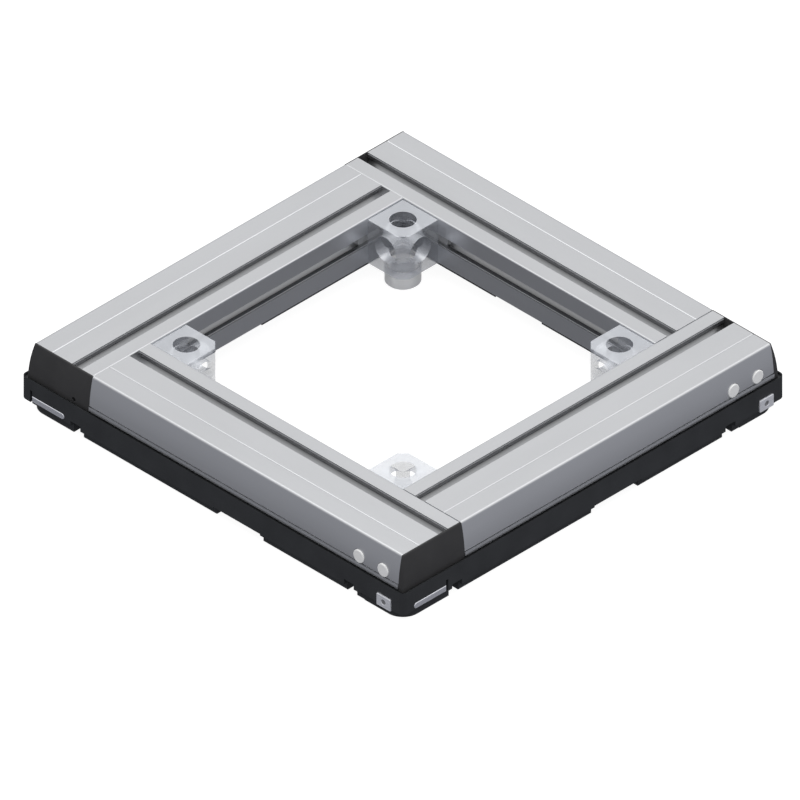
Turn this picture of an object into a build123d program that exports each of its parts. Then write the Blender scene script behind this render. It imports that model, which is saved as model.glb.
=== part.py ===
from build123d import *
import math
import os

# Workpiece carrier pallet: four aluminium rails butted in a pinwheel round an open window,
# black end caps, a black sliding frame of corner shoes and wear strips below them,
# steel stop bars and stop plates let into the shoes, and a clear locating block in each
# inner corner with its bush, screws and slot nuts.
# Frame: origin on the floor under the middle of the window, +Z up, front side towards -Y.
# An offset is measured inward from the outer plane of the bumper, a drop down from the rail top.

# Overall sizes
FRAME_SIDE = 455.0
RAIL_WIDTH = 77.5
RAIL_HEIGHT = 46.0

# Black sliding frame
RAIL_BOTTOM = 18.4
FLANGE_HEIGHT = 13.5
FLANGE_T = 8.0
BUMPER_BOTTOM = 7.7
BUMPER_EDGE_R = 1.0
RIM_T = 0.8
RIM_BEVEL_C = 0.7
TROUGH_OFFSET = 5.6
TROUGH_DEPTH = 2.6
SOLE_INSET = 4.3
SOLE_FROM_INNER = 16.3
SOLE_EDGE_C = 0.6
SHOE_LENGTH = 50.0
SHOE_SHOULDER = 8.7
SHOE_CORNER_R = 5.0
SHOE_SOLE_R = 17.0
TUNNEL_CEILING = 9.75
TUNNEL_START = 1.0
TUNNEL_LENGTH = 56.0
NOTCH_BITE = 2.4
NOTCH_WIDTH = 11.7
NOTCH_POCKET_TOP = 13.5
NOTCH_POCKET_DEPTH = 6.0

# Rail section
RAIL_TOP_OFFSET = 8.0
SIDE_MID_OFFSET = 5.2
SIDE_MID_DROP = 14.8
SIDE_FOOT_OFFSET = 3.7
SEAM_ABOVE_LIP = 4.6
SEAM_WIDTH = 0.65
SEAM_DEPTH = 1.9
SEAM_FALL = 1.4
LIP_RIDGE_OFFSET = 3.15
LIP_OFFSET = 2.7
LIP_HOLLOW = 0.1
RAIL_OUTER_R = 2.2
RAIL_INNER_R = 1.3
RAIL_WALL = 3.2
GROOVE_OFFSET = 28.4
GROOVE_WIDTH = 1.6
GROOVE_DEPTH = 0.33

# Slots, alike on the top and on the inner face
TOP_SLOT_FROM_INNER = 20.3
INNER_SLOT_DROP = 22.2
SLOT_MOUTH = 11.5
SLOT_NECK = 10.0
SLOT_RABBET = 1.2
SLOT_LIP = 4.5
SLOT_CHAMBER = 17.0
SLOT_STRAIGHT = 8.5
SLOT_DEPTH = 12.0
SLOT_FLOOR = 10.0
SLOT_WALL = 2.4

# Screw ports and channels along the rail
PORT_OUTER_OFFSET = 28.0
PORT_FROM_INNER = 20.7
PORT_ABOVE_LIP = 9.6
PORT_D = 6.8
PORT_BOSS_D = 12.4
WEB_T = 3.0
SEAT_WEB_OFFSET = 16.0
CAP_PORT_FROM_INNER = 18.6
CAP_PORT_ABOVE_LIP = 2.1
CAP_PORT_D = 3.4
CAP_PORT_BOSS_D = 7.0
CHANNEL_OUTER_OFFSET = 23.5
CHANNEL_FROM_INNER = 27.5
CHANNEL_W = 4.6
CHANNEL_DEPTH = 9.0
CHANNEL_WALL = 1.9
CHAMBER_R = 1.0

# Corner joints
JOINT_BOLT_D = 8.0
JOINT_BOLT_GRIP = 18.5
JOINT_HEAD_D = 13.0
JOINT_HEAD_H = 8.0
JOINT_SOCKET = 6.0
JOINT_SOCKET_DEPTH = 4.0
JOINT_BOLT_CLEAR = 1.0
JOINT_HEAD_EDGE_C = 0.5
PLUG_CLEAR = 0.7
PLUG_HOLE_CLEAR = 0.4
PLUG_PROUD = 0.8
PLUG_EDGE_R = 0.8
THREAD_CLEAR = 0.1
JOINT_TIP_ROOM = 5.5

# End caps
CAP_SEAT_OFFSET = 9.3
CAP_SKIRT_T = 1.6
CAP_SKIRT_DEPTH = 2.0
CAP_CORNER_R = 1.6
CAP_EDGE_R = 1.1
CAP_PEG_LENGTH = 9.0
CAP_PEG_CLEAR = 0.2
CAP_HOLE_D = 4.2
CAP_SCREW_HEAD_D = 4.0
CAP_SCREW_HEAD_H = 2.2
CAP_SCREW_D = 3.2
CAP_SCREW_LENGTH = 12.0
CAP_WEB_T = 2.4

# Stop bars and stop plates
BAR_START = 13.3
BAR_LENGTH = 38.2
BAR_HEIGHT = 5.8
BAR_Z = 13.4
BAR_T = 4.0
BAR_PROUD = 0.4
BAR_EDGE_C = 0.5
SLIT_WIDTH = 2.6
SLIT_TOP = 21.5
PLATE_START = 14.0
PLATE_WIDTH = 16.7
PLATE_Z = 8.0
PLATE_HEIGHT = 12.0
PLATE_T = 3.0
PLATE_PROUD = 1.2
PLATE_CORNER_R = 1.2
PLATE_EDGE_C = 0.4
PLATE_CLEAR = 0.3
PLATE_SCREW_D = 3.0
PLATE_SCREW_HEAD_D = 5.0
PLATE_SCREW_LENGTH = 10.0
PLATE_SCREW_SUNK = 0.3
PLATE_SCREW_SOCKET = 1.8
PLATE_SCREW_SOCKET_DEPTH = 0.8
PLATE_SCREW_TIP_ROOM = 1.0

# Locating blocks
BLOCK_SIDE = 42.0
BLOCK_TOP_DROP = 1.5
BLOCK_CHAMFER = 7.5
BLOCK_EDGE_C = 0.5
BLOCK_BORE_D = 23.3
BLOCK_POCKET_D = 25.0
BLOCK_WALL = 8.0
BLOCK_SCREW_D = 6.0
BLOCK_SCREW_LENGTH = 16.0
BLOCK_SCREW_HEAD_D = 10.0
BLOCK_SCREW_HEAD_H = 6.0
BLOCK_SCREW_SOCKET = 5.0
BLOCK_SCREW_SOCKET_DEPTH = 3.0
BLOCK_SCREW_CLEAR = 0.6
BUSH_D = 31.2
BUSH_BORE_D = 20.0
BUSH_BOTTOM = 1.0
BUSH_SPIGOT_D = 27.0
BUSH_SPIGOT_H = 8.0
BUSH_EDGE_C = 0.8
BUSH_CLEAR = 0.1
NUT_REACH = 6.5
NUT_END_ROOM = 0.5
NUT_CLEAR = 0.3
NUT_END_R = 5.0

# Screws that hold the black frame from below
SOLE_SCREW_D = 4.5
SOLE_SCREW_LENGTH = 22.0
SOLE_SCREW_HEAD_D = 9.0
SOLE_SCREW_HEAD_H = 2.6
SOLE_SCREW_SUNK = 1.2
SOLE_SCREW_SOCKET = 3.0
SOLE_SCREW_SOCKET_DEPTH = 1.8
SOLE_SCREW_CLEAR = 0.4
SHOE_SCREW_FROM_CORNER = 21.0
SHOE_SCREW_FROM_END = 8.0
STRIP_SCREW_FROM_NOTCH = 17.0
STRIP_SCREW_FROM_TUNNEL = 18.0

# Sizes that follow from the ones above
HALF = FRAME_SIDE / 2
WINDOW_HALF = HALF - RAIL_WIDTH
FRAME_HEIGHT = RAIL_BOTTOM + RAIL_HEIGHT
BUMPER_TOP = RAIL_BOTTOM + FLANGE_HEIGHT
LIP_DROP = RAIL_HEIGHT - FLANGE_HEIGHT
SEAM_DROP = LIP_DROP - SEAM_ABOVE_LIP
PORT_DROP = LIP_DROP - PORT_ABOVE_LIP
CAP_PORT_DROP = LIP_DROP - CAP_PORT_ABOVE_LIP
PORT_Z = BUMPER_TOP + PORT_ABOVE_LIP
CAP_PORT_Z = BUMPER_TOP + CAP_PORT_ABOVE_LIP
CAP_PORT_OFFSET = RAIL_WIDTH - CAP_PORT_FROM_INNER
SLOT_Z = FRAME_HEIGHT - INNER_SLOT_DROP
TOP_SLOT_OFFSET = RAIL_WIDTH - TOP_SLOT_FROM_INNER
PORT_INNER_OFFSET = RAIL_WIDTH - PORT_FROM_INNER
PORT_OFFSETS = (PORT_OUTER_OFFSET, PORT_INNER_OFFSET)
CHANNEL_OFFSETS = (CHANNEL_OUTER_OFFSET, RAIL_WIDTH - CHANNEL_FROM_INNER)
SOLE_DEPTH = RAIL_WIDTH - SOLE_FROM_INNER
NOTCH_FROM_EDGE = SOLE_DEPTH - NOTCH_BITE
NOTCH_MIDDLE = HALF - NOTCH_FROM_EDGE - NOTCH_WIDTH / 2
JOINT_BOLT_LENGTH = RAIL_WIDTH - SEAT_WEB_OFFSET + JOINT_BOLT_GRIP
BLOCK_TOP = FRAME_HEIGHT - BLOCK_TOP_DROP
BLOCK_CENTRE = WINDOW_HALF - BLOCK_SIDE / 2
NUT_LENGTH = NUT_REACH + BLOCK_SIDE - NUT_END_ROOM
TOUCH = 0.01
SIDES = ("front", "right", "rear", "left")
CORNERS = ("front_right", "rear_right", "rear_left", "front_left")
FLIPPED_TURNS = (1, 3)


def spot(offset, drop):
    """Point of the rail section, in the plane across the front rail."""
    return (-HALF + offset, FRAME_HEIGHT - drop)


def area(points, radius=0.0):
    """Closed face through section points, its corners rounded when a radius is given."""
    face = make_face(Polyline(*points, close=True))
    if radius:
        face = fillet(face.vertices(), radius)
    return face


def block(low, high):
    """Box between two corners."""
    size = [b - a for a, b in zip(low, high)]
    middle = [(a + b) / 2 for a, b in zip(low, high)]
    return Pos(*middle) * Box(*size)


def rod(radius, length, start, direction):
    """Round bar from a point along a direction."""
    place = Plane(origin=start, z_dir=direction)
    return extrude(place * Circle(radius), length)


def hexagon(across_flats, length, start, direction):
    """Hexagonal bar from a point along a direction."""
    place = Plane(origin=start, z_dir=direction)
    return extrude(place * RegularPolygon(across_flats / 2, 6, major_radius=False), length)


def cone(wide_d, narrow_d, length, start, direction):
    """Tapered bar that narrows from a point along a direction."""
    place = Plane(origin=start, z_dir=direction)
    from_base = (Align.CENTER, Align.CENTER, Align.MIN)
    return place.location * Cone(wide_d / 2, narrow_d / 2, length, align=from_base)


def side_offset(drop):
    """Offset of the curved outer side at a drop."""
    full = ThreePointArc(
        spot(RAIL_TOP_OFFSET, 0),
        spot(SIDE_MID_OFFSET, SIDE_MID_DROP),
        spot(SIDE_FOOT_OFFSET, LIP_DROP),
    )
    centre = full.arc_center
    rise = FRAME_HEIGHT - drop - centre.Y
    return HALF + centre.X - math.sqrt(full.radius ** 2 - rise ** 2)


def side_curve(drop):
    """Outer side of rail and cap, an arc from the top edge down to a drop."""
    return ThreePointArc(
        spot(RAIL_TOP_OFFSET, 0),
        spot(SIDE_MID_OFFSET, SIDE_MID_DROP),
        spot(side_offset(drop), drop),
    )


def slot_outline():
    """Half outline of a slot as pairs of half width and depth, from its mouth to its floor."""
    return (
        (SLOT_MOUTH / 2, 0),
        (SLOT_MOUTH / 2, SLOT_RABBET),
        (SLOT_NECK / 2, SLOT_RABBET),
        (SLOT_NECK / 2, SLOT_LIP),
        (SLOT_CHAMBER / 2, SLOT_LIP),
        (SLOT_CHAMBER / 2, SLOT_STRAIGHT),
        (SLOT_FLOOR / 2, SLOT_DEPTH),
    )


def slot_area(place):
    """Slot section, where place turns a width and a depth into a section point."""
    half = slot_outline()
    left = [place(-width, depth) for width, depth in reversed(half)]
    right = [place(width, depth) for width, depth in half]
    return area(right + left)


def top_slot(width, depth):
    return spot(TOP_SLOT_OFFSET + width, depth)


def inner_slot(width, depth):
    return spot(RAIL_WIDTH - depth, INNER_SLOT_DROP + width)


def rail_outline():
    """Outer outline of the rail with its rounded top edges, side seam and hollow lip."""
    curve = side_curve(SEAM_DROP)
    seam_back = side_offset(SEAM_DROP) + SEAM_DEPTH
    ridge_drop = SEAM_DROP + SEAM_WIDTH
    seam = Polyline(
        curve @ 1,
        spot(seam_back, SEAM_DROP),
        spot(seam_back, ridge_drop + SEAM_FALL),
        spot(LIP_RIDGE_OFFSET, ridge_drop),
    )
    lip_middle = (LIP_RIDGE_OFFSET + LIP_OFFSET) / 2 + LIP_HOLLOW
    lip = ThreePointArc(
        seam @ 1,
        spot(lip_middle, (ridge_drop + LIP_DROP) / 2),
        spot(LIP_OFFSET, LIP_DROP),
    )
    rest = Polyline(
        lip @ 1,
        spot(FLANGE_T, LIP_DROP),
        spot(FLANGE_T, RAIL_HEIGHT),
        spot(RAIL_WIDTH, RAIL_HEIGHT),
        spot(RAIL_WIDTH, 0),
        curve @ 0,
    )
    face = make_face([curve, *seam.edges(), lip, *rest.edges()])
    outer = face.vertices().sort_by_distance((*spot(RAIL_TOP_OFFSET, 0), 0))[0]
    face = fillet(outer, RAIL_OUTER_R)
    inner = face.vertices().sort_by_distance((*spot(RAIL_WIDTH, 0), 0))[0]
    return fillet(inner, RAIL_INNER_R)


def rail_chambers():
    """Hollow chambers of the rail between its walls and webs."""
    roof = RAIL_WALL
    ceiling = RAIL_HEIGHT - RAIL_WALL
    shelf = LIP_DROP - RAIL_WALL
    seat_back = SEAT_WEB_OFFSET + WEB_T
    web_left = PORT_OUTER_OFFSET - WEB_T / 2
    web_right = PORT_OUTER_OFFSET + WEB_T / 2
    slot_left = TOP_SLOT_OFFSET - SLOT_CHAMBER / 2 - SLOT_WALL
    slot_right = TOP_SLOT_OFFSET + SLOT_CHAMBER / 2 + SLOT_WALL
    slot_under = SLOT_DEPTH + SLOT_WALL
    inner_left = PORT_INNER_OFFSET - WEB_T / 2
    inner_right = PORT_INNER_OFFSET + WEB_T / 2
    face_wall = RAIL_WIDTH - RAIL_WALL
    chamber_back = RAIL_WIDTH - SLOT_STRAIGHT
    under_inner = INNER_SLOT_DROP + SLOT_CHAMBER / 2 + SLOT_WALL
    over_inner = INNER_SLOT_DROP - SLOT_CHAMBER / 2 - SLOT_WALL
    outer = area([
        spot(side_offset(roof) + RAIL_WALL, roof),
        spot(side_offset(SIDE_MID_DROP) + RAIL_WALL, SIDE_MID_DROP),
        spot(side_offset(shelf - RAIL_WALL) + RAIL_WALL, shelf - RAIL_WALL),
        spot(SEAT_WEB_OFFSET, shelf - RAIL_WALL),
        spot(SEAT_WEB_OFFSET, roof),
    ], CHAMBER_R)
    foot = area([
        spot(FLANGE_T + RAIL_WALL, shelf),
        spot(SEAT_WEB_OFFSET, shelf),
        spot(SEAT_WEB_OFFSET, ceiling),
        spot(FLANGE_T + RAIL_WALL, ceiling),
    ], CHAMBER_R)
    second = area([
        spot(seat_back, roof),
        spot(web_left, roof),
        spot(web_left, ceiling),
        spot(seat_back, ceiling),
    ], CHAMBER_R)
    third = area([
        spot(web_right, roof),
        spot(slot_left, roof),
        spot(slot_left, SLOT_STRAIGHT + SLOT_WALL / 2),
        spot(TOP_SLOT_OFFSET - SLOT_FLOOR / 2 - SLOT_WALL / 2, slot_under),
        spot(inner_left, slot_under),
        spot(inner_left, ceiling),
        spot(web_right, ceiling),
    ], CHAMBER_R)
    fourth = area([
        spot(inner_right, under_inner - SLOT_WALL),
        spot(chamber_back - SLOT_WALL * 2, under_inner - SLOT_WALL),
        spot(chamber_back - SLOT_WALL / 2, under_inner),
        spot(face_wall, under_inner),
        spot(face_wall, ceiling),
        spot(inner_right, ceiling),
    ], CHAMBER_R)
    corner = area([
        spot(slot_right, roof),
        spot(face_wall, roof),
        spot(face_wall, over_inner),
        spot(chamber_back + SLOT_WALL / 2, over_inner),
        spot(slot_right, over_inner - SLOT_WALL / 2),
    ], CHAMBER_R)
    return [outer, foot, second, third, fourth, corner]


def round_spot(diameter, offset, drop):
    """Circle on the rail section."""
    return Pos(*spot(offset, drop)) * Circle(diameter / 2)


def upright(offset, width, height):
    """Rectangle on the rail section that stands on its underside."""
    return area([
        spot(offset - width / 2, RAIL_HEIGHT),
        spot(offset - width / 2, RAIL_HEIGHT - height),
        spot(offset + width / 2, RAIL_HEIGHT - height),
        spot(offset + width / 2, RAIL_HEIGHT),
    ])


def rail_section():
    """Whole section of the extruded rail."""
    face = rail_outline()
    for chamber in rail_chambers():
        face -= chamber
    for offset in PORT_OFFSETS:
        face += round_spot(PORT_BOSS_D, offset, PORT_DROP)
    face += round_spot(CAP_PORT_BOSS_D, CAP_PORT_OFFSET, CAP_PORT_DROP)
    for offset in CHANNEL_OFFSETS:
        face += upright(offset, CHANNEL_W + CHANNEL_WALL * 2, CHANNEL_DEPTH + CHANNEL_WALL)
        face -= upright(offset, CHANNEL_W, CHANNEL_DEPTH)
    for offset in PORT_OFFSETS:
        face -= round_spot(PORT_D, offset, PORT_DROP)
    face -= round_spot(CAP_PORT_D, CAP_PORT_OFFSET, CAP_PORT_DROP)
    face -= slot_area(top_slot)
    face -= slot_area(inner_slot)
    face -= area([
        spot(GROOVE_OFFSET - GROOVE_WIDTH / 2, 0),
        spot(GROOVE_OFFSET, GROOVE_DEPTH),
        spot(GROOVE_OFFSET + GROOVE_WIDTH / 2, 0),
    ])
    return face


def rail():
    """Front rail: butted to the left rail at one end, capped at the other."""
    start = -WINDOW_HALF
    length = HALF - CAP_SEAT_OFFSET - start
    body = extrude(Plane.YZ.offset(start) * rail_section(), length)
    shank = (JOINT_BOLT_D + JOINT_BOLT_CLEAR) / 2
    head = (JOINT_HEAD_D + PLUG_HOLE_CLEAR) / 2
    thread = (JOINT_BOLT_D + THREAD_CLEAR) / 2
    tapped = JOINT_BOLT_GRIP + JOINT_TIP_ROOM
    for offset in PORT_OFFSETS:
        mouth = (HALF - offset, -HALF, PORT_Z)
        body -= rod(shank, RAIL_WIDTH, mouth, (0, 1, 0))
        body -= rod(head, SEAT_WEB_OFFSET, mouth, (0, 1, 0))
        body -= rod(thread, tapped, (start, -HALF + offset, PORT_Z), (1, 0, 0))
    return body


def joint_bolt(offset):
    """Bolt through the front rail into the butted end of the right rail."""
    across = HALF - offset
    seat = -HALF + SEAT_WEB_OFFSET
    body = rod(JOINT_HEAD_D / 2, JOINT_HEAD_H, (across, seat, PORT_Z), (0, -1, 0))
    rim = body.edges().filter_by(GeomType.CIRCLE).sort_by(Axis.Y)[0]
    body = chamfer(rim, JOINT_HEAD_EDGE_C)
    body += rod(JOINT_BOLT_D / 2, JOINT_BOLT_LENGTH, (across, seat, PORT_Z), (0, 1, 0))
    crown = seat - JOINT_HEAD_H
    return body - hexagon(JOINT_SOCKET, JOINT_SOCKET_DEPTH, (across, crown, PORT_Z), (0, 1, 0))


def joint_plug(offset):
    """Round cover plug that closes the bolt hole in the outer side."""
    across = HALF - offset
    inner = -HALF + SEAT_WEB_OFFSET - JOINT_HEAD_H
    outer = -HALF + side_offset(PORT_DROP) - PLUG_PROUD
    radius = (JOINT_HEAD_D + PLUG_HOLE_CLEAR - PLUG_CLEAR) / 2
    body = rod(radius, inner - outer, (across, inner, PORT_Z), (0, -1, 0))
    rim = body.edges().filter_by(GeomType.CIRCLE).sort_by(Axis.Y)[0]
    return fillet(rim, PLUG_EDGE_R)


def cap_profile():
    """Section of the end cap: the rail's side curve, carried on past the lip to the skirt's foot."""
    foot = LIP_DROP + CAP_SKIRT_DEPTH
    curve = side_curve(foot)
    rest = Polyline(curve @ 1, spot(RAIL_WIDTH, foot), spot(RAIL_WIDTH, 0), curve @ 0)
    return make_face([curve] + rest.edges())


def end_cap(screwed):
    """Moulded cap on the right end of the front rail, its skirt let into the trough below it."""
    seat = HALF - CAP_SEAT_OFFSET
    across = extrude(Plane.YZ.offset(seat) * cap_profile(), CAP_SEAT_OFFSET)
    face = Plane.YZ.offset(-HALF) * cap_profile()
    along = extrude(face, FRAME_SIDE).rotate(Axis.Z, 90)
    body = across & along
    mitre = [edge for edge in body.edges() if abs(edge.center().X + edge.center().Y) < TOUCH]
    body = fillet(mitre, CAP_CORNER_R)
    rim = [
        edge for edge in body.faces().sort_by(Axis.Z)[-1].edges()
        if edge.center().X > seat + TOUCH and edge.center().Y < -WINDOW_HALF + TOUCH
    ]
    body = fillet(rim, CAP_EDGE_R)
    behind_skirt = side_offset(LIP_DROP) + CAP_SKIRT_T
    body -= block(
        (seat, -HALF + behind_skirt, BUMPER_TOP - CAP_SKIRT_DEPTH),
        (HALF - behind_skirt, -WINDOW_HALF, BUMPER_TOP),
    )
    for offset in PORT_OFFSETS:
        peg = (PORT_D - CAP_PEG_CLEAR) / 2
        body += rod(peg, CAP_PEG_LENGTH, (seat, -HALF + offset, PORT_Z), (-1, 0, 0))
    if not screwed:
        return body
    centre = -HALF + CAP_PORT_OFFSET
    body -= rod(CAP_HOLE_D / 2, CAP_SEAT_OFFSET, (seat + CAP_WEB_T, centre, CAP_PORT_Z), (1, 0, 0))
    return body - rod(CAP_PORT_D / 2, CAP_SEAT_OFFSET, (seat, centre, CAP_PORT_Z), (1, 0, 0))


def cap_screw():
    """Small screw sunk in the hole of the cap."""
    seat = HALF - CAP_SEAT_OFFSET + CAP_WEB_T
    start = (seat, -HALF + CAP_PORT_OFFSET, CAP_PORT_Z)
    body = rod(CAP_SCREW_HEAD_D / 2, CAP_SCREW_HEAD_H, start, (1, 0, 0))
    body += rod(CAP_SCREW_D / 2, CAP_SCREW_LENGTH, start, (-1, 0, 0))
    return body


def sole_screw(x, y):
    """Countersunk screw up through the black frame into a channel of the rail."""
    start = (x, y, SOLE_SCREW_SUNK)
    body = cone(SOLE_SCREW_HEAD_D, SOLE_SCREW_D, SOLE_SCREW_HEAD_H, start, (0, 0, 1))
    body += rod(SOLE_SCREW_D / 2, SOLE_SCREW_LENGTH, start, (0, 0, 1))
    return body - hexagon(SOLE_SCREW_SOCKET, SOLE_SCREW_SOCKET_DEPTH, start, (0, 0, 1))


def sole_screw_hole(x, y):
    """Room for a sole screw, with its countersink."""
    shank = SOLE_SCREW_D + SOLE_SCREW_CLEAR
    sink = SOLE_SCREW_HEAD_D + SOLE_SCREW_CLEAR
    hole = rod(shank / 2, RAIL_BOTTOM, (x, y, 0), (0, 0, 1))
    hole += rod(sink / 2, SOLE_SCREW_SUNK, (x, y, 0), (0, 0, 1))
    return hole + cone(sink, shank, SOLE_SCREW_HEAD_H, (x, y, SOLE_SCREW_SUNK), (0, 0, 1))


def shoe_screw_spots():
    """Places of the screws in the front right shoe."""
    return [
        (HALF - along, -HALF + offset)
        for along in (SHOE_SCREW_FROM_CORNER, SHOE_LENGTH - SHOE_SCREW_FROM_END)
        for offset in CHANNEL_OFFSETS
    ]


def strip_screw_spots():
    """Places of the screws in the front strip, in turn on either channel."""
    end = NOTCH_MIDDLE - NOTCH_WIDTH / 2 - STRIP_SCREW_FROM_NOTCH
    before = TUNNEL_START - STRIP_SCREW_FROM_TUNNEL
    after = TUNNEL_START + TUNNEL_LENGTH + STRIP_SCREW_FROM_TUNNEL
    return [
        (along, -HALF + CHANNEL_OFFSETS[index % 2])
        for index, along in enumerate((-end, before, after, end))
    ]


def notch(middle):
    """Gap across the sole, with a blind pocket in the bumper above it."""
    low, high = middle - NOTCH_WIDTH / 2, middle + NOTCH_WIDTH / 2
    gap = block((low, -HALF, 0), (high, -HALF + SOLE_DEPTH, TUNNEL_CEILING))
    return gap + block((low, -HALF, 0), (high, -HALF + NOTCH_POCKET_DEPTH, NOTCH_POCKET_TOP))


def strip_profile():
    """Section of a wear strip: sole, base under the rail and upright bumper with its trough."""
    base = -HALF
    face = area([
        (base + SOLE_INSET, 0),
        (base + SOLE_DEPTH, 0),
        (base + SOLE_DEPTH, RAIL_BOTTOM),
        (base + FLANGE_T, RAIL_BOTTOM),
        (base + FLANGE_T, BUMPER_TOP),
        (base + TROUGH_OFFSET, BUMPER_TOP),
        (base + TROUGH_OFFSET, BUMPER_TOP - TROUGH_DEPTH),
        (base + RIM_T, BUMPER_TOP - TROUGH_DEPTH),
        (base + RIM_T, BUMPER_TOP),
        (base, BUMPER_TOP),
        (base, BUMPER_BOTTOM),
        (base + SOLE_INSET, BUMPER_BOTTOM),
    ])
    face = fillet(face.vertices().sort_by_distance((base, BUMPER_BOTTOM, 0))[0], BUMPER_EDGE_R)
    rim = face.vertices().sort_by_distance((base + RIM_T, BUMPER_TOP, 0))[0]
    face = chamfer(rim, RIM_BEVEL_C)
    for point in ((base + SOLE_INSET, 0), (base + SOLE_DEPTH, 0)):
        face = chamfer(face.vertices().sort_by_distance((*point, 0))[0], SOLE_EDGE_C)
    return face


def wear_strip():
    """Straight part of the black frame along the front, between two corner shoes."""
    start = -HALF + SOLE_DEPTH
    length = HALF - SHOE_LENGTH - start
    body = extrude(Plane.YZ.offset(start) * strip_profile(), length)
    body -= block(
        (TUNNEL_START, -HALF, 0),
        (TUNNEL_START + TUNNEL_LENGTH, -HALF + SOLE_DEPTH, TUNNEL_CEILING),
    )
    body -= notch(NOTCH_MIDDLE)
    body -= notch(-NOTCH_MIDDLE)
    body -= block(
        (NOTCH_MIDDLE, -HALF + NOTCH_FROM_EDGE, 0),
        (HALF, -HALF + SOLE_DEPTH, TUNNEL_CEILING),
    )
    for x, y in strip_screw_spots():
        body -= sole_screw_hole(x, y)
    return body


def bar_outline(flipped):
    """Stop bar seen from the right: one end half round, the other square."""
    radius = BAR_HEIGHT / 2
    straight = BAR_LENGTH - radius
    body = Pos(straight / 2, 0) * Rectangle(straight, BAR_HEIGHT) + Circle(radius)
    centre = -HALF + BAR_START
    if flipped:
        return Pos(centre + straight, BAR_Z) * Rot(0, 0, 180) * body
    return Pos(centre + radius, BAR_Z) * body


def stop_bar(flipped):
    """Hardened bar in the right face of the front right shoe, a little proud of the bumper."""
    body = extrude(Plane.YZ.offset(HALF + BAR_PROUD) * bar_outline(flipped), -BAR_T - BAR_PROUD)
    rim = body.faces().sort_by(Axis.X)[-1].edges()
    return chamfer(rim, BAR_EDGE_C)


def slit(flipped):
    """Relief slit beside the square end of the bar."""
    low = -HALF + BAR_START - SLIT_WIDTH if flipped else -HALF + BAR_START + BAR_LENGTH
    return block((HALF - BAR_T, low, SHOE_SHOULDER), (HALF, low + SLIT_WIDTH, SLIT_TOP))


def plate_centre(depth):
    """Middle of the stop plate at a depth behind its face."""
    return (
        HALF - PLATE_START - PLATE_WIDTH / 2,
        -HALF - PLATE_PROUD + depth,
        PLATE_Z + PLATE_HEIGHT / 2,
    )


def plate_outline(room):
    """Stop plate seen from the front, grown by the room round it."""
    across, _, up = plate_centre(0)
    wide = PLATE_WIDTH + room * 2
    high = PLATE_HEIGHT + room * 2
    return Pos(across, up) * RectangleRounded(wide, high, PLATE_CORNER_R + room)


def front_plane(depth):
    """Upright plane parallel to the front, its own x to the right and y up."""
    return Plane(origin=(0, depth, 0), x_dir=(1, 0, 0), z_dir=(0, -1, 0))


def stop_plate():
    """Steel plate let into the front face of the shoe, a little proud of it."""
    back = front_plane(-HALF - PLATE_PROUD + PLATE_T)
    body = extrude(back * plate_outline(0), PLATE_T)
    rim = body.faces().sort_by(Axis.Y)[0].edges()
    body = chamfer(rim, PLATE_EDGE_C)
    shank = PLATE_SCREW_D + THREAD_CLEAR
    body -= rod(shank / 2, PLATE_T, plate_centre(0), (0, 1, 0))
    opening = PLATE_SCREW_HEAD_D + PLATE_SCREW_SUNK * 2
    depth = (opening - PLATE_SCREW_D) / 2
    return body - cone(opening, PLATE_SCREW_D, depth, plate_centre(0), (0, 1, 0))


def plate_screw():
    """Countersunk screw in the middle of the stop plate."""
    start = plate_centre(PLATE_SCREW_SUNK)
    head_h = (PLATE_SCREW_HEAD_D - PLATE_SCREW_D) / 2
    body = cone(PLATE_SCREW_HEAD_D, PLATE_SCREW_D, head_h, start, (0, 1, 0))
    body += rod(PLATE_SCREW_D / 2, PLATE_SCREW_LENGTH, start, (0, 1, 0))
    return body - hexagon(PLATE_SCREW_SOCKET, PLATE_SCREW_SOCKET_DEPTH, start, (0, 1, 0))


def corner_rectangle(left, right, low, high, radius):
    """Rectangle seen from above, its outer corner at the front right rounded."""
    face = Pos((left + right) / 2, (low + high) / 2) * Rectangle(right - left, high - low)
    return fillet(face.vertices().sort_by_distance((right, low, 0))[0], radius)


def outer_rim(body, height):
    """Edges of the shoe's outer faces at a height."""
    return [
        edge for edge in body.edges()
        if abs(edge.center().Z - height) < TOUCH
        and (edge.center().X > HALF - SHOE_CORNER_R or edge.center().Y < -HALF + SHOE_CORNER_R)
    ]


def shoe_layer(left, high, inset, base):
    """Slab with the shoe's plan, drawn in by an inset, from a height upward."""
    plan = corner_rectangle(left, HALF - inset, -HALF + inset, high, SHOE_CORNER_R - inset)
    return extrude(Plane.XY.offset(base) * plan, TROUGH_DEPTH)


def shoe_trough(left, high):
    """Trough in the top of the shoe, its mouth widened so that the rim ends in a thin edge."""
    bevel_foot = BUMPER_TOP - RIM_BEVEL_C
    mouth = shoe_layer(left, high, RIM_T - RIM_BEVEL_C, bevel_foot)
    mouth = chamfer(outer_rim(mouth, bevel_foot), RIM_BEVEL_C)
    trough = shoe_layer(left, high, RIM_T, BUMPER_TOP - TROUGH_DEPTH) + mouth
    return trough - block((left, -HALF + TROUGH_OFFSET, 0), (HALF - TROUGH_OFFSET, high, BUMPER_TOP))


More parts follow.
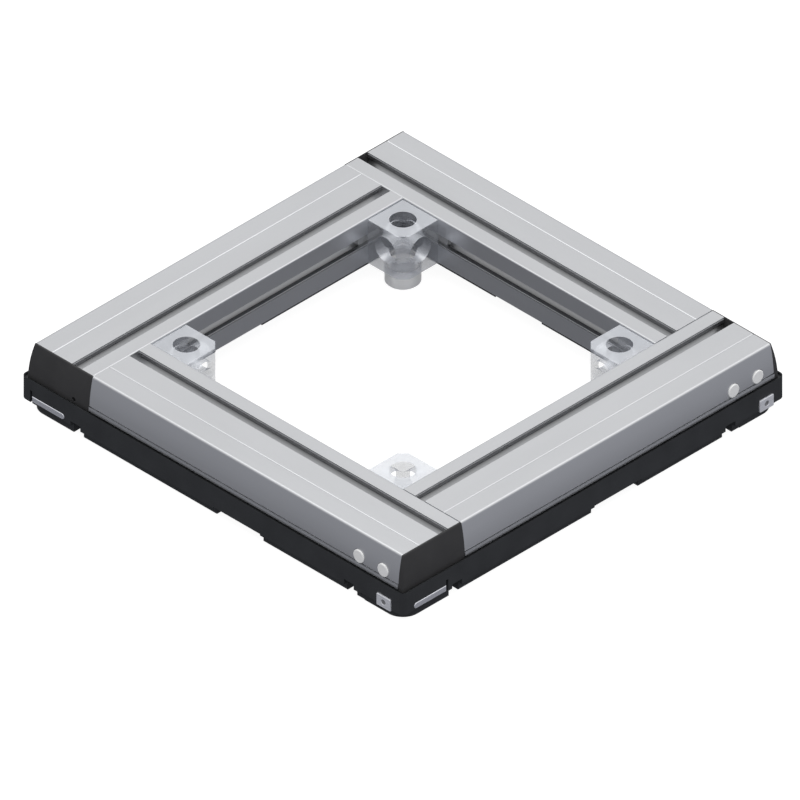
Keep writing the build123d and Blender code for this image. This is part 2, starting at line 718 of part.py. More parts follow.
def corner_shoe(flipped):
    """Black corner of the sliding frame under the front right end of the rail."""
    left = HALF - SHOE_LENGTH
    high = -HALF + SOLE_DEPTH
    upper = corner_rectangle(left, HALF, -HALF, high, SHOE_CORNER_R)
    body = extrude(Plane.XY.offset(SHOE_SHOULDER) * upper, BUMPER_TOP - SHOE_SHOULDER)
    body = fillet(outer_rim(body, SHOE_SHOULDER), BUMPER_EDGE_R)
    body -= shoe_trough(left, high)
    lower = corner_rectangle(left, HALF - SOLE_INSET, -HALF + SOLE_INSET, high, SHOE_SOLE_R)
    body += extrude(Plane.XY * lower, SHOE_SHOULDER)
    body -= block((left, -HALF + FLANGE_T, RAIL_BOTTOM), (HALF - CAP_SEAT_OFFSET, high, BUMPER_TOP))
    body -= extrude(Plane.YZ.offset(HALF) * bar_outline(flipped), -BAR_T)
    body -= slit(flipped)
    pocket = front_plane(-HALF - PLATE_PROUD + PLATE_T)
    body -= extrude(pocket * plate_outline(PLATE_CLEAR), PLATE_T)
    screw_hole = PLATE_SCREW_LENGTH + PLATE_SCREW_TIP_ROOM
    body -= rod((PLATE_SCREW_D + THREAD_CLEAR) / 2, screw_hole, plate_centre(0), (0, 1, 0))
    body -= block(
        (HALF - NOTCH_POCKET_DEPTH, -HALF + NOTCH_FROM_EDGE, 0), (HALF, high, NOTCH_POCKET_TOP)
    )
    body -= block((left, -HALF + NOTCH_FROM_EDGE, 0), (HALF, high, TUNNEL_CEILING))
    for x, y in shoe_screw_spots():
        body -= sole_screw_hole(x, y)
    return body


def locating_block():
    """Clear block in the front right inner corner, bored from above and from both open faces."""
    inner = WINDOW_HALF - BLOCK_SIDE
    plan = Pos(BLOCK_CENTRE, -BLOCK_CENTRE) * Rectangle(BLOCK_SIDE, BLOCK_SIDE)
    plan = chamfer(plan.vertices().sort_by_distance((inner, -inner, 0))[0], BLOCK_CHAMFER)
    height = BLOCK_TOP - RAIL_BOTTOM
    body = extrude(Plane.XY.offset(RAIL_BOTTOM) * plan, height)
    body = chamfer(body.faces().sort_by(Axis.Z)[-1].edges(), BLOCK_EDGE_C)
    foot = (BLOCK_CENTRE, -BLOCK_CENTRE, RAIL_BOTTOM)
    body -= rod(BLOCK_BORE_D / 2, height, foot, (0, 0, 1))
    body -= rod((BUSH_SPIGOT_D + BUSH_CLEAR) / 2, BUSH_SPIGOT_H, foot, (0, 0, 1))
    pocket_depth = BLOCK_SIDE - BLOCK_WALL
    hole = (BLOCK_SCREW_D + BLOCK_SCREW_CLEAR) / 2
    body -= rod(BLOCK_POCKET_D / 2, pocket_depth, (inner, -BLOCK_CENTRE, SLOT_Z), (1, 0, 0))
    body -= rod(hole, BLOCK_SIDE, (inner, -BLOCK_CENTRE, SLOT_Z), (1, 0, 0))
    body -= rod(BLOCK_POCKET_D / 2, pocket_depth, (BLOCK_CENTRE, -inner, SLOT_Z), (0, -1, 0))
    body -= rod(hole, BLOCK_SIDE, (BLOCK_CENTRE, -inner, SLOT_Z), (0, -1, 0))
    return body


def locating_bush():
    """Turned bush pressed into the bottom of the block, open for a locating pin."""
    centre = (BLOCK_CENTRE, -BLOCK_CENTRE)
    body = rod(BUSH_D / 2, RAIL_BOTTOM - BUSH_BOTTOM, (*centre, BUSH_BOTTOM), (0, 0, 1))
    body = chamfer(body.edges().filter_by(GeomType.CIRCLE).sort_by(Axis.Z)[0], BUSH_EDGE_C)
    body += rod(BUSH_SPIGOT_D / 2, BUSH_SPIGOT_H, (*centre, RAIL_BOTTOM), (0, 0, 1))
    body -= rod(BUSH_BORE_D / 2, RAIL_BOTTOM + BUSH_SPIGOT_H, (*centre, 0), (0, 0, 1))
    bottom = body.faces().sort_by(Axis.Z)[0]
    mouth = bottom.edges().filter_by(GeomType.CIRCLE).sort_by(SortBy.RADIUS)[0]
    return chamfer(mouth, BUSH_EDGE_C)


def block_screw(seat, direction):
    """Socket head screw, its head seated at a point and its shank along a direction."""
    back = tuple(-part for part in direction)
    crown = tuple(point + step * BLOCK_SCREW_HEAD_H for point, step in zip(seat, back))
    body = rod(BLOCK_SCREW_HEAD_D / 2, BLOCK_SCREW_HEAD_H, seat, back)
    body += rod(BLOCK_SCREW_D / 2, BLOCK_SCREW_LENGTH, seat, direction)
    return body - hexagon(BLOCK_SCREW_SOCKET, BLOCK_SCREW_SOCKET_DEPTH, crown, direction)


def block_screws():
    """Two screws from inside the block into the slot nuts of both rails."""
    seat = WINDOW_HALF - BLOCK_WALL
    return [
        block_screw((seat, -BLOCK_CENTRE, SLOT_Z), (1, 0, 0)),
        block_screw((BLOCK_CENTRE, -seat, SLOT_Z), (0, -1, 0)),
    ]


def slot_nut():
    """Nut with rounded ends behind the lips of the front rail's inner slot."""
    lip = -WINDOW_HALF - SLOT_LIP
    wide = SLOT_CHAMBER / 2 - NUT_CLEAR
    narrow = SLOT_FLOOR / 2 - NUT_CLEAR
    straight = -WINDOW_HALF - SLOT_STRAIGHT
    floor = -WINDOW_HALF - SLOT_DEPTH + NUT_CLEAR
    section = area([
        (lip, SLOT_Z - wide),
        (lip, SLOT_Z + wide),
        (straight, SLOT_Z + wide),
        (floor, SLOT_Z + narrow),
        (floor, SLOT_Z - narrow),
        (straight, SLOT_Z - wide),
    ])
    start = WINDOW_HALF - BLOCK_SIDE - NUT_REACH
    body = extrude(Plane.YZ.offset(start) * section, NUT_LENGTH)
    ends = Pos(start + NUT_LENGTH / 2, SLOT_Z) * RectangleRounded(NUT_LENGTH, 2 * wide, NUT_END_R)
    body &= extrude(front_plane(lip) * ends, SLOT_DEPTH)
    hole = (BLOCK_SCREW_D + THREAD_CLEAR) / 2
    return body - rod(hole, SLOT_DEPTH, (BLOCK_CENTRE, lip, SLOT_Z), (0, -1, 0))


def slot_nuts():
    """The two nuts of the front right block, one in each rail."""
    front = slot_nut()
    mirrored = front.mirror(Plane(origin=(0, 0, 0), z_dir=(1, 1, 0)))
    return [front, mirrored]


def quarter(shape, turn):
    """A front side or front right piece turned to its own side."""
    return shape.rotate(Axis.Z, 90 * turn)


def around(shapes, turns=range(4)):
    """Copies of a few pieces on some or all of the four sides, as one group of separate solids."""
    solids = [
        solid
        for turn in turns
        for shape in shapes
        for solid in quarter(shape, turn).solids()
    ]
    return Compound(children=solids)


def save(shape, name):
    export_step(shape, f"parts/{name}.step")


def main():
    os.makedirs("parts", exist_ok=True)
    plain = {
        "rail": (rail(), SIDES),
        "wear_strip": (wear_strip(), SIDES),
        "stop_plate": (stop_plate(), CORNERS),
        "locating_block": (locating_block(), CORNERS),
        "locating_bush": (locating_bush(), CORNERS),
    }
    for kind, (shape, places) in plain.items():
        for turn, place in enumerate(places):
            save(quarter(shape, turn), f"{kind}_{place}")
    for turn, place in enumerate(CORNERS):
        flipped = turn in FLIPPED_TURNS
        save(quarter(corner_shoe(flipped), turn), f"corner_shoe_{place}")
        save(quarter(stop_bar(flipped), turn), f"stop_bar_{place}")
        save(quarter(end_cap(flipped), turn), f"end_cap_{place}")
    save(around([joint_bolt(offset) for offset in PORT_OFFSETS]), "joint_bolts")
    save(around([joint_plug(offset) for offset in PORT_OFFSETS]), "joint_plugs")
    save(around([cap_screw()], FLIPPED_TURNS), "cap_screws")
    save(around([plate_screw()]), "plate_screws")
    save(around(block_screws()), "block_screws")
    save(around(slot_nuts()), "slot_nuts")
    save(around([sole_screw(*point) for point in shoe_screw_spots()]), "shoe_screws")
    save(around([sole_screw(*point) for point in strip_screw_spots()]), "strip_screws")


main()
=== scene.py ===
"""Workpiece carrier pallet: the finish of every piece, and a plain pale studio round it."""

import bpy
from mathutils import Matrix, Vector


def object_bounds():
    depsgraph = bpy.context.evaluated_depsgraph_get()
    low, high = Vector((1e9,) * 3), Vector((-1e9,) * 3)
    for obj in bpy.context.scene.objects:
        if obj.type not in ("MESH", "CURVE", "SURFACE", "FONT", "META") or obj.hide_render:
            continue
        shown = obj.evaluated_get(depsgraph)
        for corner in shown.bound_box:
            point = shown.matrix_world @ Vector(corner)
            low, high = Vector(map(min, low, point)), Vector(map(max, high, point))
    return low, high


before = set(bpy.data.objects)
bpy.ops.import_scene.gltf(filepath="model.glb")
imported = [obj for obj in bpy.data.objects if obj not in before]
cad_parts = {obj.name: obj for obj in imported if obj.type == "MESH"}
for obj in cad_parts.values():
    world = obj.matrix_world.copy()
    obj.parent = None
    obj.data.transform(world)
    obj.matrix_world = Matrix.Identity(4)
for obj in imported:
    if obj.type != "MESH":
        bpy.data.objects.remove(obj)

bl_info = {
    "name": "Carrier pallet",
    "version": (1, 0, 0),
    "blender": (4, 5, 0),
    "location": "View3D > Sidebar > Pallet",
    "description": "Finishes the pieces of a workpiece carrier pallet and sets up its studio",
    "category": "Object",
}

CAD_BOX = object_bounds()
SIDES_ALONG = {"x": ("front", "rear"), "y": ("right", "left")}

# The isometric view: picture size and scale, and the pixel on which the origin of the frame falls
PHOTO_SIDE = 800
PHOTO_PIXELS_PER_METRE = 1187.0
PHOTO_ORIGIN = (402.95, 405.6)
CAMERA_SIDE = Vector((1.0, -1.0, 1.0)).normalized()
CAMERA_RIGHT = Vector((1.0, 1.0, 0.0)).normalized()
CAMERA_UP = CAMERA_SIDE.cross(CAMERA_RIGHT)
FAR_CLIP_SHARE = 4  # in camera distances

# The sky: each strength of the studio with its place from straight down, 0, to straight up, 1
SKY_TINT = (1.0, 1.0, 0.99)
GROUND_TINT = (0.965, 0.985, 1.06)
SKY_STEPS = (
    (0.93, "zenith", SKY_TINT),
    (0.78, "above", SKY_TINT),
    (0.5, "horizon", GROUND_TINT),
    (0.28, "aslant", GROUND_TINT),
    (0.16, "below", GROUND_TINT),
)
KEY_LIGHT_PLACE = Vector((-0.4, 0.3, 1.8))
FLOOR_ROUGHNESS = 0.9
WHITE = (1.0, 1.0, 1.0, 1.0)

# The slots of the rails, where shade is painted into the rail colour, in metres
WINDOW_HALF = 0.15  # middle of the pallet to the inner face of a rail
TOP_SLOT_FROM_MIDDLE = 0.1703  # middle of the pallet to the middle of a top slot
INNER_SLOT_DROP = 0.0222  # top of the rails to the middle of an inner slot
SLOT_HALF = 0.0087  # half the band across a slot in which shade is painted
SLOT_REACH = 0.0125  # depth down to which shade is painted in a slot
# Depth in a slot as a share of SLOT_REACH, and the share of the rail colour that the painted shade
# leaves there
SLOT_SHADES = (
    (0.0, 1.0), (0.01, 0.5), (0.085, 0.4), (0.09, 1.0), (0.105, 1.0),
    (0.11, 0.55), (0.34, 0.6), (0.68, 0.32), (0.88, 0.85), (0.98, 0.9), (1.0, 1.0),
)

NOISE_BAND = (0.3, 0.7)  # most values of a noise texture lie between these
USUAL_SPECULAR = 0.5  # the level that the shader starts with
MIX_FIRST, MIX_SECOND, MIX_COLOUR = 6, 7, 2  # sockets of a Mix node that mixes colours
STOP_METALLIC = {"bar": 0.9, "plate": 0.45}


def colour_property(name, description, default):
    """Colour that the user can change."""
    return bpy.props.FloatVectorProperty(
        name=name, description=description, subtype="COLOR", size=3, min=0.0, max=1.0,
        default=default,
    )


def share_property(name, description, default):
    """Share from nothing to all that the user can change."""
    return bpy.props.FloatProperty(
        name=name, description=description, subtype="FACTOR", min=0.0, max=1.0, default=default
    )


def strength_property(name, description, default):
    """Strength from nothing upwards that the user can change."""
    return bpy.props.FloatProperty(name=name, description=description, min=0.0, default=default)


class PalletFinish(bpy.types.PropertyGroup):
    """Colours and polish of the pieces."""

    rail_colour: colour_property("Rails", "Natural anodised aluminium", (0.61, 0.618, 0.64))
    rail_roughness: share_property("Rail roughness", "How matt the anodising is", 0.3)
    slide_colour: colour_property("Sliding frame", "Black sliding plastic", (0.038, 0.04, 0.044))
    cap_colour: colour_property("End caps", "Charcoal moulded plastic", (0.047, 0.0465, 0.0485))
    steel_colour: colour_property("Stops", "Ground steel of bars and plates", (0.86, 0.87, 0.93))
    screw_colour: colour_property("Screws", "Plated steel of screws and bolts", (0.46, 0.46, 0.48))
    oxide_colour: colour_property(
        "Cap screws", "Blackened steel of the cap screws", (0.012, 0.012, 0.013)
    )
    plug_colour: colour_property("Plugs", "Light grey cover plugs", (1.0, 1.0, 1.0))
    block_colour: colour_property("Blocks", "Clear locating blocks", (0.79, 0.815, 0.87))
    block_cover: share_property(
        "Block cover", "How much an upright block face hides of what lies behind", 0.28
    )
    top_cover: share_property(
        "Top cover", "How much a clear face that looks up hides of what lies below", 0.64
    )
    bush_colour: colour_property("Bushes", "Clear bushes and slot nuts", (0.74, 0.75, 0.78))
    bush_cover: share_property(
        "Bush cover", "How much an upright bush face hides of what lies behind", 0.5
    )


class PalletStudio(bpy.types.PropertyGroup):
    """Floor, light and camera."""

    floor_size: bpy.props.FloatProperty(
        name="Floor", description="Side of the square floor", subtype="DISTANCE",
        min=2.0, default=12.0,
    )
    floor_colour: colour_property("Floor colour", "Plain pale floor", (0.2, 0.2, 0.2))
    floor_glow: strength_property(
        "Floor glow", "Light of the floor itself, which softens shadows", 0.93
    )
    zenith: strength_property("Light overhead", "Strength of the upper sky", 1.38)
    above: strength_property("Light from above", "Strength half way up the sky", 0.8)
    horizon: strength_property("Light from the sides", "Strength at the horizon", 0.42)
    aslant: strength_property(
        "Light from the ground far off", "Strength a little under the horizon", 0.34
    )
    below: strength_property("Light from below", "Strength well under the horizon", 0.07)
    sideways: strength_property(
        "Lighter to the right", "Share by which the right is lighter", 0.075
    )
    key_energy: bpy.props.FloatProperty(
        name="Key light", description="Power of the large soft light", subtype="POWER",
        min=0.0, default=4.0,
    )
    key_size: bpy.props.FloatProperty(
        name="Key size", description="Side of the large soft light", subtype="DISTANCE",
        min=0.1, default=1.6,
    )
    camera_distance: bpy.props.FloatProperty(
        name="Camera distance", description="From the pallet to the camera", subtype="DISTANCE",
        min=0.5, default=3.0,
    )


def fill_ramp(ramp, steps):
    """Gives a fresh ramp its places and colours, from the last place to the first."""
    stops = ramp.color_ramp.elements
    stops.remove(stops[0])
    (last_place, last_colour), *others = steps
    stops[0].position = last_place
    stops[0].color = (*last_colour, 1.0)
    for place, colour in others:
        stops.new(place).color = (*colour, 1.0)


class Finish:
    """A material in the making: one principled shader and the textures that feed it."""

    def __init__(self, name, colour, roughness, metallic=0.0):
        self.material = bpy.data.materials.new(name)
        self.material.use_nodes = True
        self.nodes = self.material.node_tree.nodes
        self.links = self.material.node_tree.links
        self.shader = self.nodes["Principled BSDF"]
        self.colour = tuple(colour)
        self.roughness = roughness
        self.shader.inputs["Base Color"].default_value = (*self.colour, 1.0)
        self.shader.inputs["Roughness"].default_value = roughness
        self.shader.inputs["Metallic"].default_value = metallic
        self.texture_space = self.nodes.new("ShaderNodeTexCoord")
        self.place = self.texture_space.outputs["Object"]

    def noise(self, scale, detail=3.0):
        """Noise with its own number of spots a metre along each axis."""
        mapping = self.nodes.new("ShaderNodeMapping")
        mapping.inputs["Scale"].default_value = scale
        self.links.new(self.place, mapping.inputs["Vector"])
        texture = self.nodes.new("ShaderNodeTexNoise")
        texture.inputs["Scale"].default_value = 1.0
        texture.inputs["Detail"].default_value = detail
        self.links.new(mapping.outputs["Vector"], texture.inputs["Vector"])
        return texture.outputs["Fac"]

    def tone(self, source, amount):
        """Lets the colour vary by a share either way with a texture."""
        ramp = self.nodes.new("ShaderNodeValToRGB")
        factors = (1 - amount, 1 + amount)
        for stop, place, factor in zip(ramp.color_ramp.elements, NOISE_BAND, factors):
            stop.position = place
            stop.color = (*(part * factor for part in self.colour), 1.0)
        self.links.new(source, ramp.inputs["Fac"])
        self.links.new(ramp.outputs["Color"], self.shader.inputs["Base Color"])
        return self

    def number(self, operation, *values):
        """Result of a Math node over sockets and plain numbers."""
        node = self.nodes.new("ShaderNodeMath")
        node.operation = operation
        for socket, value in zip(node.inputs, values):
            if isinstance(value, float):
                socket.default_value = value
            else:
                self.links.new(value, socket)
        return node.outputs["Value"]

    def paint_slot_shade(self, direction, top):
        """Darkens the colour with painted shade in the depth of the top slot and the inner slot.
        """
        split = self.nodes.new("ShaderNodeSeparateXYZ")
        self.links.new(self.place, split.inputs["Vector"])
        height = split.outputs["Z"]
        away = self.number("ABSOLUTE", split.outputs["Y" if direction == "x" else "X"])
        in_top = self.number("COMPARE", away, TOP_SLOT_FROM_MIDDLE, SLOT_HALF)
        in_inner = self.number("COMPARE", height, top - INNER_SLOT_DROP, SLOT_HALF)
        depth = self.number(
            "ADD",
            self.number("MULTIPLY", in_top, self.number("SUBTRACT", top, height)),
            self.number("MULTIPLY", in_inner, self.number("SUBTRACT", away, WINDOW_HALF)),
        )
        within = self.number("MULTIPLY", depth, self.number("LESS_THAN", depth, SLOT_REACH))
        ramp = self.nodes.new("ShaderNodeValToRGB")
        fill_ramp(ramp, [(place, (shade,) * 3) for place, shade in reversed(SLOT_SHADES)])
        self.links.new(self.number("DIVIDE", within, SLOT_REACH), ramp.inputs["Fac"])
        blend = self.nodes.new("ShaderNodeMix")
        blend.data_type = "RGBA"
        blend.blend_type = "MULTIPLY"
        blend.inputs["Factor"].default_value = 1.0
        colour = self.shader.inputs["Base Color"]
        self.links.new(colour.links[0].from_socket, blend.inputs[MIX_FIRST])
        self.links.new(ramp.outputs["Color"], blend.inputs[MIX_SECOND])
        self.links.new(blend.outputs[MIX_COLOUR], colour)
        return self

    def polish(self, source, amount):
        """Lets the roughness vary either way with a texture."""
        spread = self.nodes.new("ShaderNodeMapRange")
        for end, place, change in zip(("Min", "Max"), NOISE_BAND, (-amount, amount)):
            spread.inputs[f"From {end}"].default_value = place
            spread.inputs[f"To {end}"].default_value = self.roughness + change
        self.links.new(source, spread.inputs["Value"])
        self.links.new(spread.outputs["Result"], self.shader.inputs["Roughness"])
        return self

    def relief(self, source, depth):
        """Raises the surface with a texture by a depth in metres."""
        bump = self.nodes.new("ShaderNodeBump")
        bump.inputs["Distance"].default_value = depth
        self.links.new(source, bump.inputs["Height"])
        self.links.new(bump.outputs["Normal"], self.shader.inputs["Normal"])
        return self

    def dull(self, share):
        """Takes back the mirror light of the surface to a share of the usual."""
        self.shader.inputs["Specular IOR Level"].default_value = share * USUAL_SPECULAR
        return self

    def clear(self, cover, top_cover):
        """Lets what lies behind show through, the least through faces that look up."""
        split = self.nodes.new("ShaderNodeSeparateXYZ")
        self.links.new(self.texture_space.outputs["Normal"], split.inputs["Vector"])
        spread = self.nodes.new("ShaderNodeMapRange")
        spread.inputs["To Min"].default_value = cover
        spread.inputs["To Max"].default_value = top_cover
        self.links.new(split.outputs["Z"], spread.inputs["Value"])
        self.links.new(spread.outputs["Result"], self.shader.inputs["Alpha"])
        self.material.surface_render_method = "BLENDED"
        return self


def even_scale(spots):
    """Spots a metre, as many along each axis."""
    return (spots,) * 3


def drawn_scale(direction, along, across):
    """Spots a metre for lines drawn along an axis."""
    return tuple(along if axis == direction else across for axis in "xyz")


def rail_finish(look, direction):
    """Natural anodised extrusion with fine die lines along it, and painted shade in the depth of
    its slots.
    """
    finish = Finish(
        f"anodised_rail_{direction}", look.rail_colour, look.rail_roughness, metallic=0.92
    )
    lines = finish.noise(drawn_scale(direction, along=3.0, across=1400.0), detail=2.0)
    clouds = finish.noise(drawn_scale(direction, along=9.0, across=26.0))
    # the depth of the slots gets painted shade in the rail colour
    finish.tone(clouds, amount=0.02).paint_slot_shade(direction, top=CAD_BOX[1][2])
    return finish.polish(lines, amount=0.02).relief(lines, depth=0.000002).material


def slide_finish(look):
    """Black sliding plastic with a fine moulded grain."""
    finish = Finish("black_slide_plastic", look.slide_colour, roughness=0.5).dull(share=0.4)
    grain = finish.noise(even_scale(1500.0))
    clouds = finish.noise(even_scale(40.0))
    finish.tone(clouds, amount=0.12).polish(clouds, amount=0.08)
    return finish.relief(grain, depth=0.00002).material


def cap_finish(look):
    """Charcoal moulded plastic with a spark eroded texture."""
    finish = Finish("charcoal_cap_plastic", look.cap_colour, roughness=0.58).dull(share=0.4)
    grain = finish.noise(even_scale(2400.0))
    clouds = finish.noise(even_scale(60.0))
    finish.tone(clouds, amount=0.08).polish(clouds, amount=0.05)
    return finish.relief(grain, depth=0.000025).material


def stop_finish(look, kind, direction):
    """Ground steel with its grinding lines along the piece."""
    finish = Finish(
        f"{kind}_steel_{direction}", look.steel_colour, roughness=0.36,
        metallic=STOP_METALLIC[kind],
    )
    lines = finish.noise(drawn_scale(direction, along=60.0, across=2600.0))
    finish.tone(lines, amount=0.05).polish(lines, amount=0.1)
    return finish.relief(lines, depth=0.00001).material


def screw_finish(look):
    """Bright plated steel."""
    finish = Finish("plated_screw_steel", look.screw_colour, roughness=0.34, metallic=0.9)
    clouds = finish.noise(even_scale(700.0))
    return finish.tone(clouds, amount=0.06).polish(clouds, amount=0.08).material


def oxide_finish(look):
    """Blackened steel."""
    finish = Finish("black_oxide_steel", look.oxide_colour, roughness=0.5, metallic=0.6)
    clouds = finish.noise(even_scale(700.0))
    return finish.tone(clouds, amount=0.1).polish(clouds, amount=0.08).material


def plug_finish(look):
    """Light grey moulded plastic."""
    finish = Finish("grey_plug_plastic", look.plug_colour, roughness=0.38)
    clouds = finish.noise(even_scale(350.0))
    return finish.tone(clouds, amount=0.015).polish(clouds, amount=0.05).material


def block_finish(look):
    """Clear plastic, finely milled, with a metallic share for its sheen."""
    finish = Finish("clear_block_plastic", look.block_colour, roughness=0.22, metallic=0.5)
    marks = finish.noise(even_scale(30.0))
    return finish.polish(marks, amount=0.03).clear(look.block_cover, look.top_cover).material


def bush_finish(look):
    """Clear plastic, finely turned, with a metallic share for its sheen."""
    finish = Finish("clear_bush_plastic", look.bush_colour, roughness=0.3, metallic=0.3)
    marks = finish.noise(even_scale(30.0))
    return finish.polish(marks, amount=0.03).clear(look.bush_cover, look.top_cover).material


def dress(kinds, material, places=None):
    """Gives a material to every node of some kinds, or only to those at some places."""
    names = [
        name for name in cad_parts
        if name.startswith(kinds) and (places is None or name.endswith(places))
    ]
    if not names:
        raise RuntimeError(f"no node is named {kinds}")
    for name in names:
        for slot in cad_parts[name].material_slots:
            slot.material = material


class FinishOperator:
    """What the operators that finish pieces share."""

    bl_options = {"REGISTER", "UNDO"}

    def execute(self, context):
        self.finish(context.scene.pallet_finish)
        return {"FINISHED"}


class PALLET_OT_rails(FinishOperator, bpy.types.Operator):
    """Finish the four extruded rails"""

    bl_idname = "pallet.rails"
    bl_label = "Finish the rails"

    def finish(self, look):
        for direction, sides in SIDES_ALONG.items():
            dress("rail_", rail_finish(look, direction), sides)


class PALLET_OT_end_caps(FinishOperator, bpy.types.Operator):
    """Finish the four end caps"""

    bl_idname = "pallet.end_caps"
    bl_label = "Finish the end caps"

    def finish(self, look):
        dress("end_cap_", cap_finish(look))


class PALLET_OT_sliding_frame(FinishOperator, bpy.types.Operator):
    """Finish the corner shoes and the wear strips"""

    bl_idname = "pallet.sliding_frame"
    bl_label = "Finish the sliding frame"

    def finish(self, look):
        dress(("corner_shoe_", "wear_strip_"), slide_finish(look))


class PALLET_OT_stops(FinishOperator, bpy.types.Operator):
    """Finish the stop bars and stop plates"""

    bl_idname = "pallet.stops"
    bl_label = "Finish the stops"

    def finish(self, look):
        ahead, across = ("front_right", "rear_left"), ("front_left", "rear_right")
        dress("stop_bar_", stop_finish(look, "bar", "y"), ahead)
        dress("stop_bar_", stop_finish(look, "bar", "x"), across)
        dress("stop_plate_", stop_finish(look, "plate", "x"), ahead)
        dress("stop_plate_", stop_finish(look, "plate", "y"), across)


class PALLET_OT_plugs(FinishOperator, bpy.types.Operator):
    """Finish the cover plugs"""

    bl_idname = "pallet.plugs"
    bl_label = "Finish the plugs"

    def finish(self, look):
        dress("joint_plugs", plug_finish(look))


class PALLET_OT_locating_blocks(FinishOperator, bpy.types.Operator):
    """Finish the clear locating blocks, their bushes and their slot nuts"""

    bl_idname = "pallet.locating_blocks"
    bl_label = "Finish the locating blocks"

    def finish(self, look):
        dress("locating_block_", block_finish(look))
        dress(("locating_bush_", "slot_nuts"), bush_finish(look))


class PALLET_OT_screws(FinishOperator, bpy.types.Operator):
    """Finish the bolts and screws"""

    bl_idname = "pallet.screws"
    bl_label = "Finish the screws"

    def finish(self, look):
        plated = ("joint_bolts", "plate_screws", "block_screws", "shoe_screws", "strip_screws")
        dress(plated, screw_finish(look))
        dress("cap_screws", oxide_finish(look))


def make_floor(studio):
    """Plain pale floor under the pallet."""
    half = studio.floor_size / 2
    mesh = bpy.data.meshes.new("floor")
    corners = [(-half, -half, 0.0), (half, -half, 0.0), (half, half, 0.0), (-half, half, 0.0)]
    mesh.from_pydata(corners, [], [(0, 1, 2, 3)])
    floor = bpy.data.objects.new("floor", mesh)
    bpy.context.scene.collection.objects.link(floor)
    paint = Finish("pale_floor", studio.floor_colour, FLOOR_ROUGHNESS)
    paint.shader.inputs["Emission Color"].default_value = WHITE
    paint.shader.inputs["Emission Strength"].default_value = studio.floor_glow
    mesh.materials.append(paint.material)
    # The glow is for the camera only: it neither lights the pallet nor mirrors in it
    floor.visible_diffuse = False
    floor.visible_glossy = False


def make_sky(studio):
    """Soft white surroundings, brightest overhead and a little lighter to the right."""
    world = bpy.data.worlds.new("soft_studio")
    bpy.context.scene.world = world
    world.use_nodes = True
    nodes = world.node_tree.nodes
    links = world.node_tree.links
    place = nodes.new("ShaderNodeTexCoord").outputs["Generated"]
    split = nodes.new("ShaderNodeSeparateXYZ")
    links.new(place, split.inputs["Vector"])
    height = nodes.new("ShaderNodeMapRange")
    height.inputs["From Min"].default_value = -1.0
    links.new(split.outputs["Z"], height.inputs["Value"])
    ramp = nodes.new("ShaderNodeValToRGB")
    steps = []
    for up, name, tint in SKY_STEPS:
        share = getattr(studio, name) / studio.zenith
        steps.append((up, tuple(share * part for part in tint)))
    fill_ramp(ramp, steps)
    links.new(height.outputs["Result"], ramp.inputs["Fac"])
    links.new(ramp.outputs["Color"], nodes["Background"].inputs["Color"])
    turn = nodes.new("ShaderNodeVectorMath")
    turn.operation = "DOT_PRODUCT"
    turn.inputs[1].default_value = CAMERA_RIGHT * (studio.sideways * studio.zenith)
    links.new(place, turn.inputs[0])
    gain = nodes.new("ShaderNodeMath")
    gain.operation = "ADD"
    gain.inputs[1].default_value = studio.zenith
    links.new(turn.outputs["Value"], gain.inputs[0])
    links.new(gain.outputs["Value"], nodes["Background"].inputs["Strength"])


def make_key_light(studio):
    """Large soft light over the pallet, a little to the rear left."""
    light = bpy.data.lights.new("key_light", "AREA")
    light.energy = studio.key_energy
    light.size = studio.key_size
    lamp = bpy.data.objects.new("key_light", light)
    bpy.context.scene.collection.objects.link(lamp)
    lamp.location = KEY_LIGHT_PLACE
    lamp.rotation_euler = (-KEY_LIGHT_PLACE).to_track_quat("-Z", "Y").to_euler()


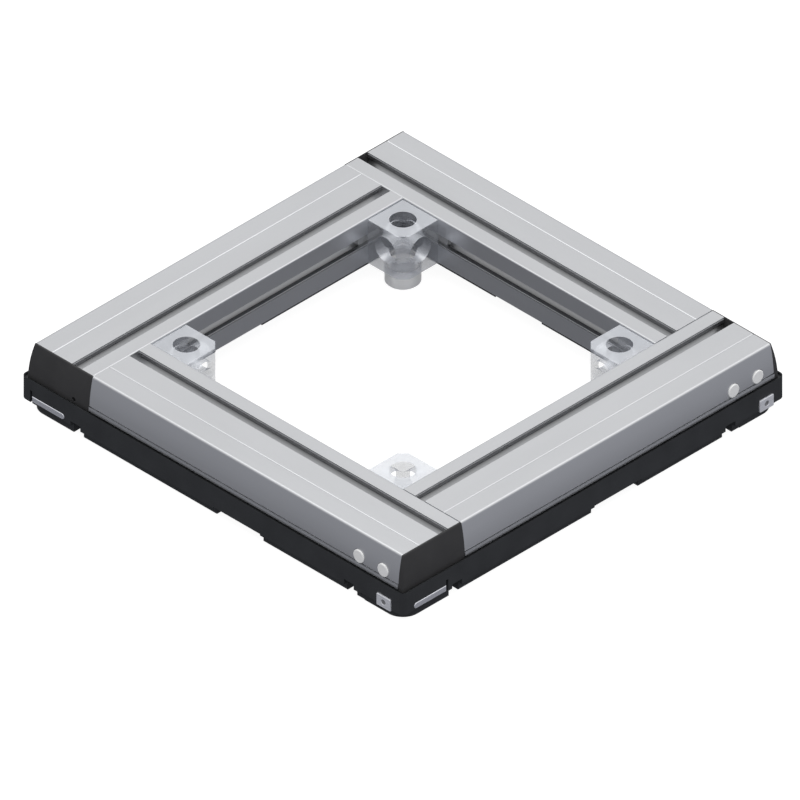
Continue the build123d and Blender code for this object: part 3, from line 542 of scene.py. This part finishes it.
def make_camera(studio):
    """Camera at the view of the reference, with parallel lines kept parallel."""
    data = bpy.data.cameras.new("camera")
    data.type = "ORTHO"
    data.ortho_scale = PHOTO_SIDE / PHOTO_PIXELS_PER_METRE
    data.clip_end = studio.camera_distance * FAR_CLIP_SHARE
    middle = PHOTO_SIDE / 2
    aim = CAMERA_RIGHT * (middle - PHOTO_ORIGIN[0]) + CAMERA_UP * (PHOTO_ORIGIN[1] - middle)
    camera = bpy.data.objects.new("camera", data)
    bpy.context.scene.collection.objects.link(camera)
    camera.location = aim / PHOTO_PIXELS_PER_METRE + CAMERA_SIDE * studio.camera_distance
    camera.rotation_euler = CAMERA_SIDE.to_track_quat("Z", "Y").to_euler()
    bpy.context.scene.camera = camera


class PALLET_OT_studio(bpy.types.Operator):
    """Make the floor, the light and the camera"""

    bl_idname = "pallet.studio"
    bl_label = "Make the studio"
    bl_options = {"REGISTER", "UNDO"}

    def execute(self, context):
        studio = context.scene.pallet_studio
        make_floor(studio)
        make_sky(studio)
        make_key_light(studio)
        make_camera(studio)
        # The ground of the reference is pure white, which the usual transform would turn grey
        context.scene.view_settings.view_transform = "Standard"
        return {"FINISHED"}


STEPS = (
    PALLET_OT_rails,
    PALLET_OT_end_caps,
    PALLET_OT_sliding_frame,
    PALLET_OT_stops,
    PALLET_OT_plugs,
    PALLET_OT_locating_blocks,
    PALLET_OT_screws,
    PALLET_OT_studio,
)


class PALLET_PT_sidebar(bpy.types.Panel):
    """Lists the steps and their values"""

    bl_idname = "PALLET_PT_sidebar"
    bl_label = "Carrier pallet"
    bl_space_type = "VIEW_3D"
    bl_region_type = "UI"
    bl_category = "Pallet"

    def draw(self, context):
        for group in (context.scene.pallet_finish, context.scene.pallet_studio):
            box = self.layout.box()
            for name in group.__annotations__:
                box.prop(group, name)
        for step in STEPS:
            self.layout.operator(step.bl_idname)


GROUPS = {"pallet_finish": PalletFinish, "pallet_studio": PalletStudio}
CLASSES = (*GROUPS.values(), *STEPS, PALLET_PT_sidebar)


def register():
    """Make the classes and their values known to Blender."""
    for made in CLASSES:
        bpy.utils.register_class(made)
    for name, group in GROUPS.items():
        setattr(bpy.types.Scene, name, bpy.props.PointerProperty(type=group))


def unregister():
    """Take the classes and their values back."""
    for name in GROUPS:
        delattr(bpy.types.Scene, name)
    for made in reversed(CLASSES):
        bpy.utils.unregister_class(made)


def main():
    """Register the add-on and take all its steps."""
    register()
    for step in STEPS:
        group, name = step.bl_idname.split(".")
        getattr(getattr(bpy.ops, group), name)()


if __name__ == "__main__":
    main()
